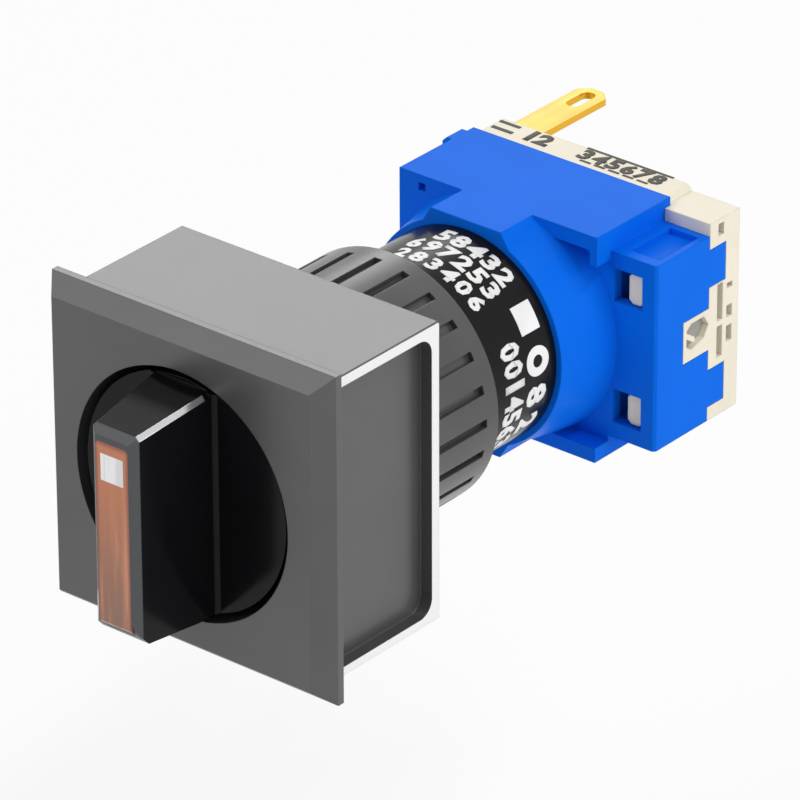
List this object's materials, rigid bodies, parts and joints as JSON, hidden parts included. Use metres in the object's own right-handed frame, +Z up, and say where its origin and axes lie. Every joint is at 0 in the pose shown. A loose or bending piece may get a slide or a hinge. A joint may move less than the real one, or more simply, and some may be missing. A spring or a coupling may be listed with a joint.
{
  "type": "selector switch",
  "caption": "Panel-mounted rotary selector switch: square black bezel, bar knob with amber lens strip, threaded barrel with ribbed locking ring, blue contact block and gold solder terminals.",
  "frame": {"origin": "centre of the bezel's rear face, which rests on the panel, on the switch axis", "axes": "+Y along the switch axis from the knob to the terminals, +Z up, +X right"},
  "size_m": [0.0244, 0.0589, 0.024],
  "materials": {
    "black_case": "satin black moulding",
    "black_knob": "polished black moulding",
    "black_ring": "satin black moulding",
    "amber_lens": "translucent amber",
    "white_tile": "white",
    "clear_plastic": "clear moulding",
    "seal_rubber": "matt black rubber",
    "grey_nylon": "natural grey nylon",
    "spring_steel": "bright",
    "blue_case": "bright blue moulding",
    "cream_base": "cream moulding",
    "black_socket": "black moulding",
    "contact_brass": "stamped brass",
    "gold_terminal": "gold-flashed brass"
  },
  "bodies": {
    "switch_frame": {"bezel": "black_case", "panel_gasket": "seal_rubber", "threaded_barrel": "black_case", "detent_rollers": "spring_steel", "detent_springs": "spring_steel", "block_housing": "blue_case", "terminal_base": "cream_base", "lamp_terminal_upper": "gold_terminal", "lamp_terminal_lower": "gold_terminal", "lamp_socket": "black_socket", "lamp_body": "black_socket", "lamp_dome": "clear_plastic", "lamp_pins": "contact_brass", "upper_left_terminal": "gold_terminal", "upper_middle_terminal": "gold_terminal", "upper_right_terminal": "gold_terminal", "lower_left_terminal": "gold_terminal", "lower_middle_terminal": "gold_terminal", "lower_right_terminal": "gold_terminal"},
    "turning_knob": {"knob": "black_knob", "lens_strip": "amber_lens", "pointer_tile": "white_tile", "light_guide": "clear_plastic", "rotor_shaft": "grey_nylon", "detent_cam": "grey_nylon"},
    "clamp_ring": {"locking_ring": "black_ring"},
    "upper_slide": {"upper_slider": "grey_nylon", "upper_bridge": "contact_brass"},
    "lower_slide": {"lower_slider": "grey_nylon", "lower_bridge": "contact_brass"}
  },
  "joints": [
    {"name": "knob_turn", "type": "hinge", "parent": "switch_frame", "child": "turning_knob", "pos_m": [0, 0, 0], "axis": [0, 1, 0], "range_deg": [-45, 45]},
    {"name": "ring_turn", "type": "hinge", "parent": "switch_frame", "child": "clamp_ring", "pos_m": [0, 0.0055, 0], "axis": [0, 1, 0], "continuous": true},
    {"name": "upper_slide_move", "type": "slide", "parent": "switch_frame", "child": "upper_slide", "axis": [1, 0, 0], "range_m": [-0.00326, 0.00326]},
    {"name": "lower_slide_move", "type": "slide", "parent": "switch_frame", "child": "lower_slide", "axis": [1, 0, 0], "range_m": [-0.00326, 0.00326]}
  ],
  "couplings": [
    {"joint": "upper_slide_move", "follows": "knob_turn", "m_per_rad": 0.00414},
    {"joint": "lower_slide_move", "follows": "knob_turn", "m_per_rad": -0.00414}
  ]
}
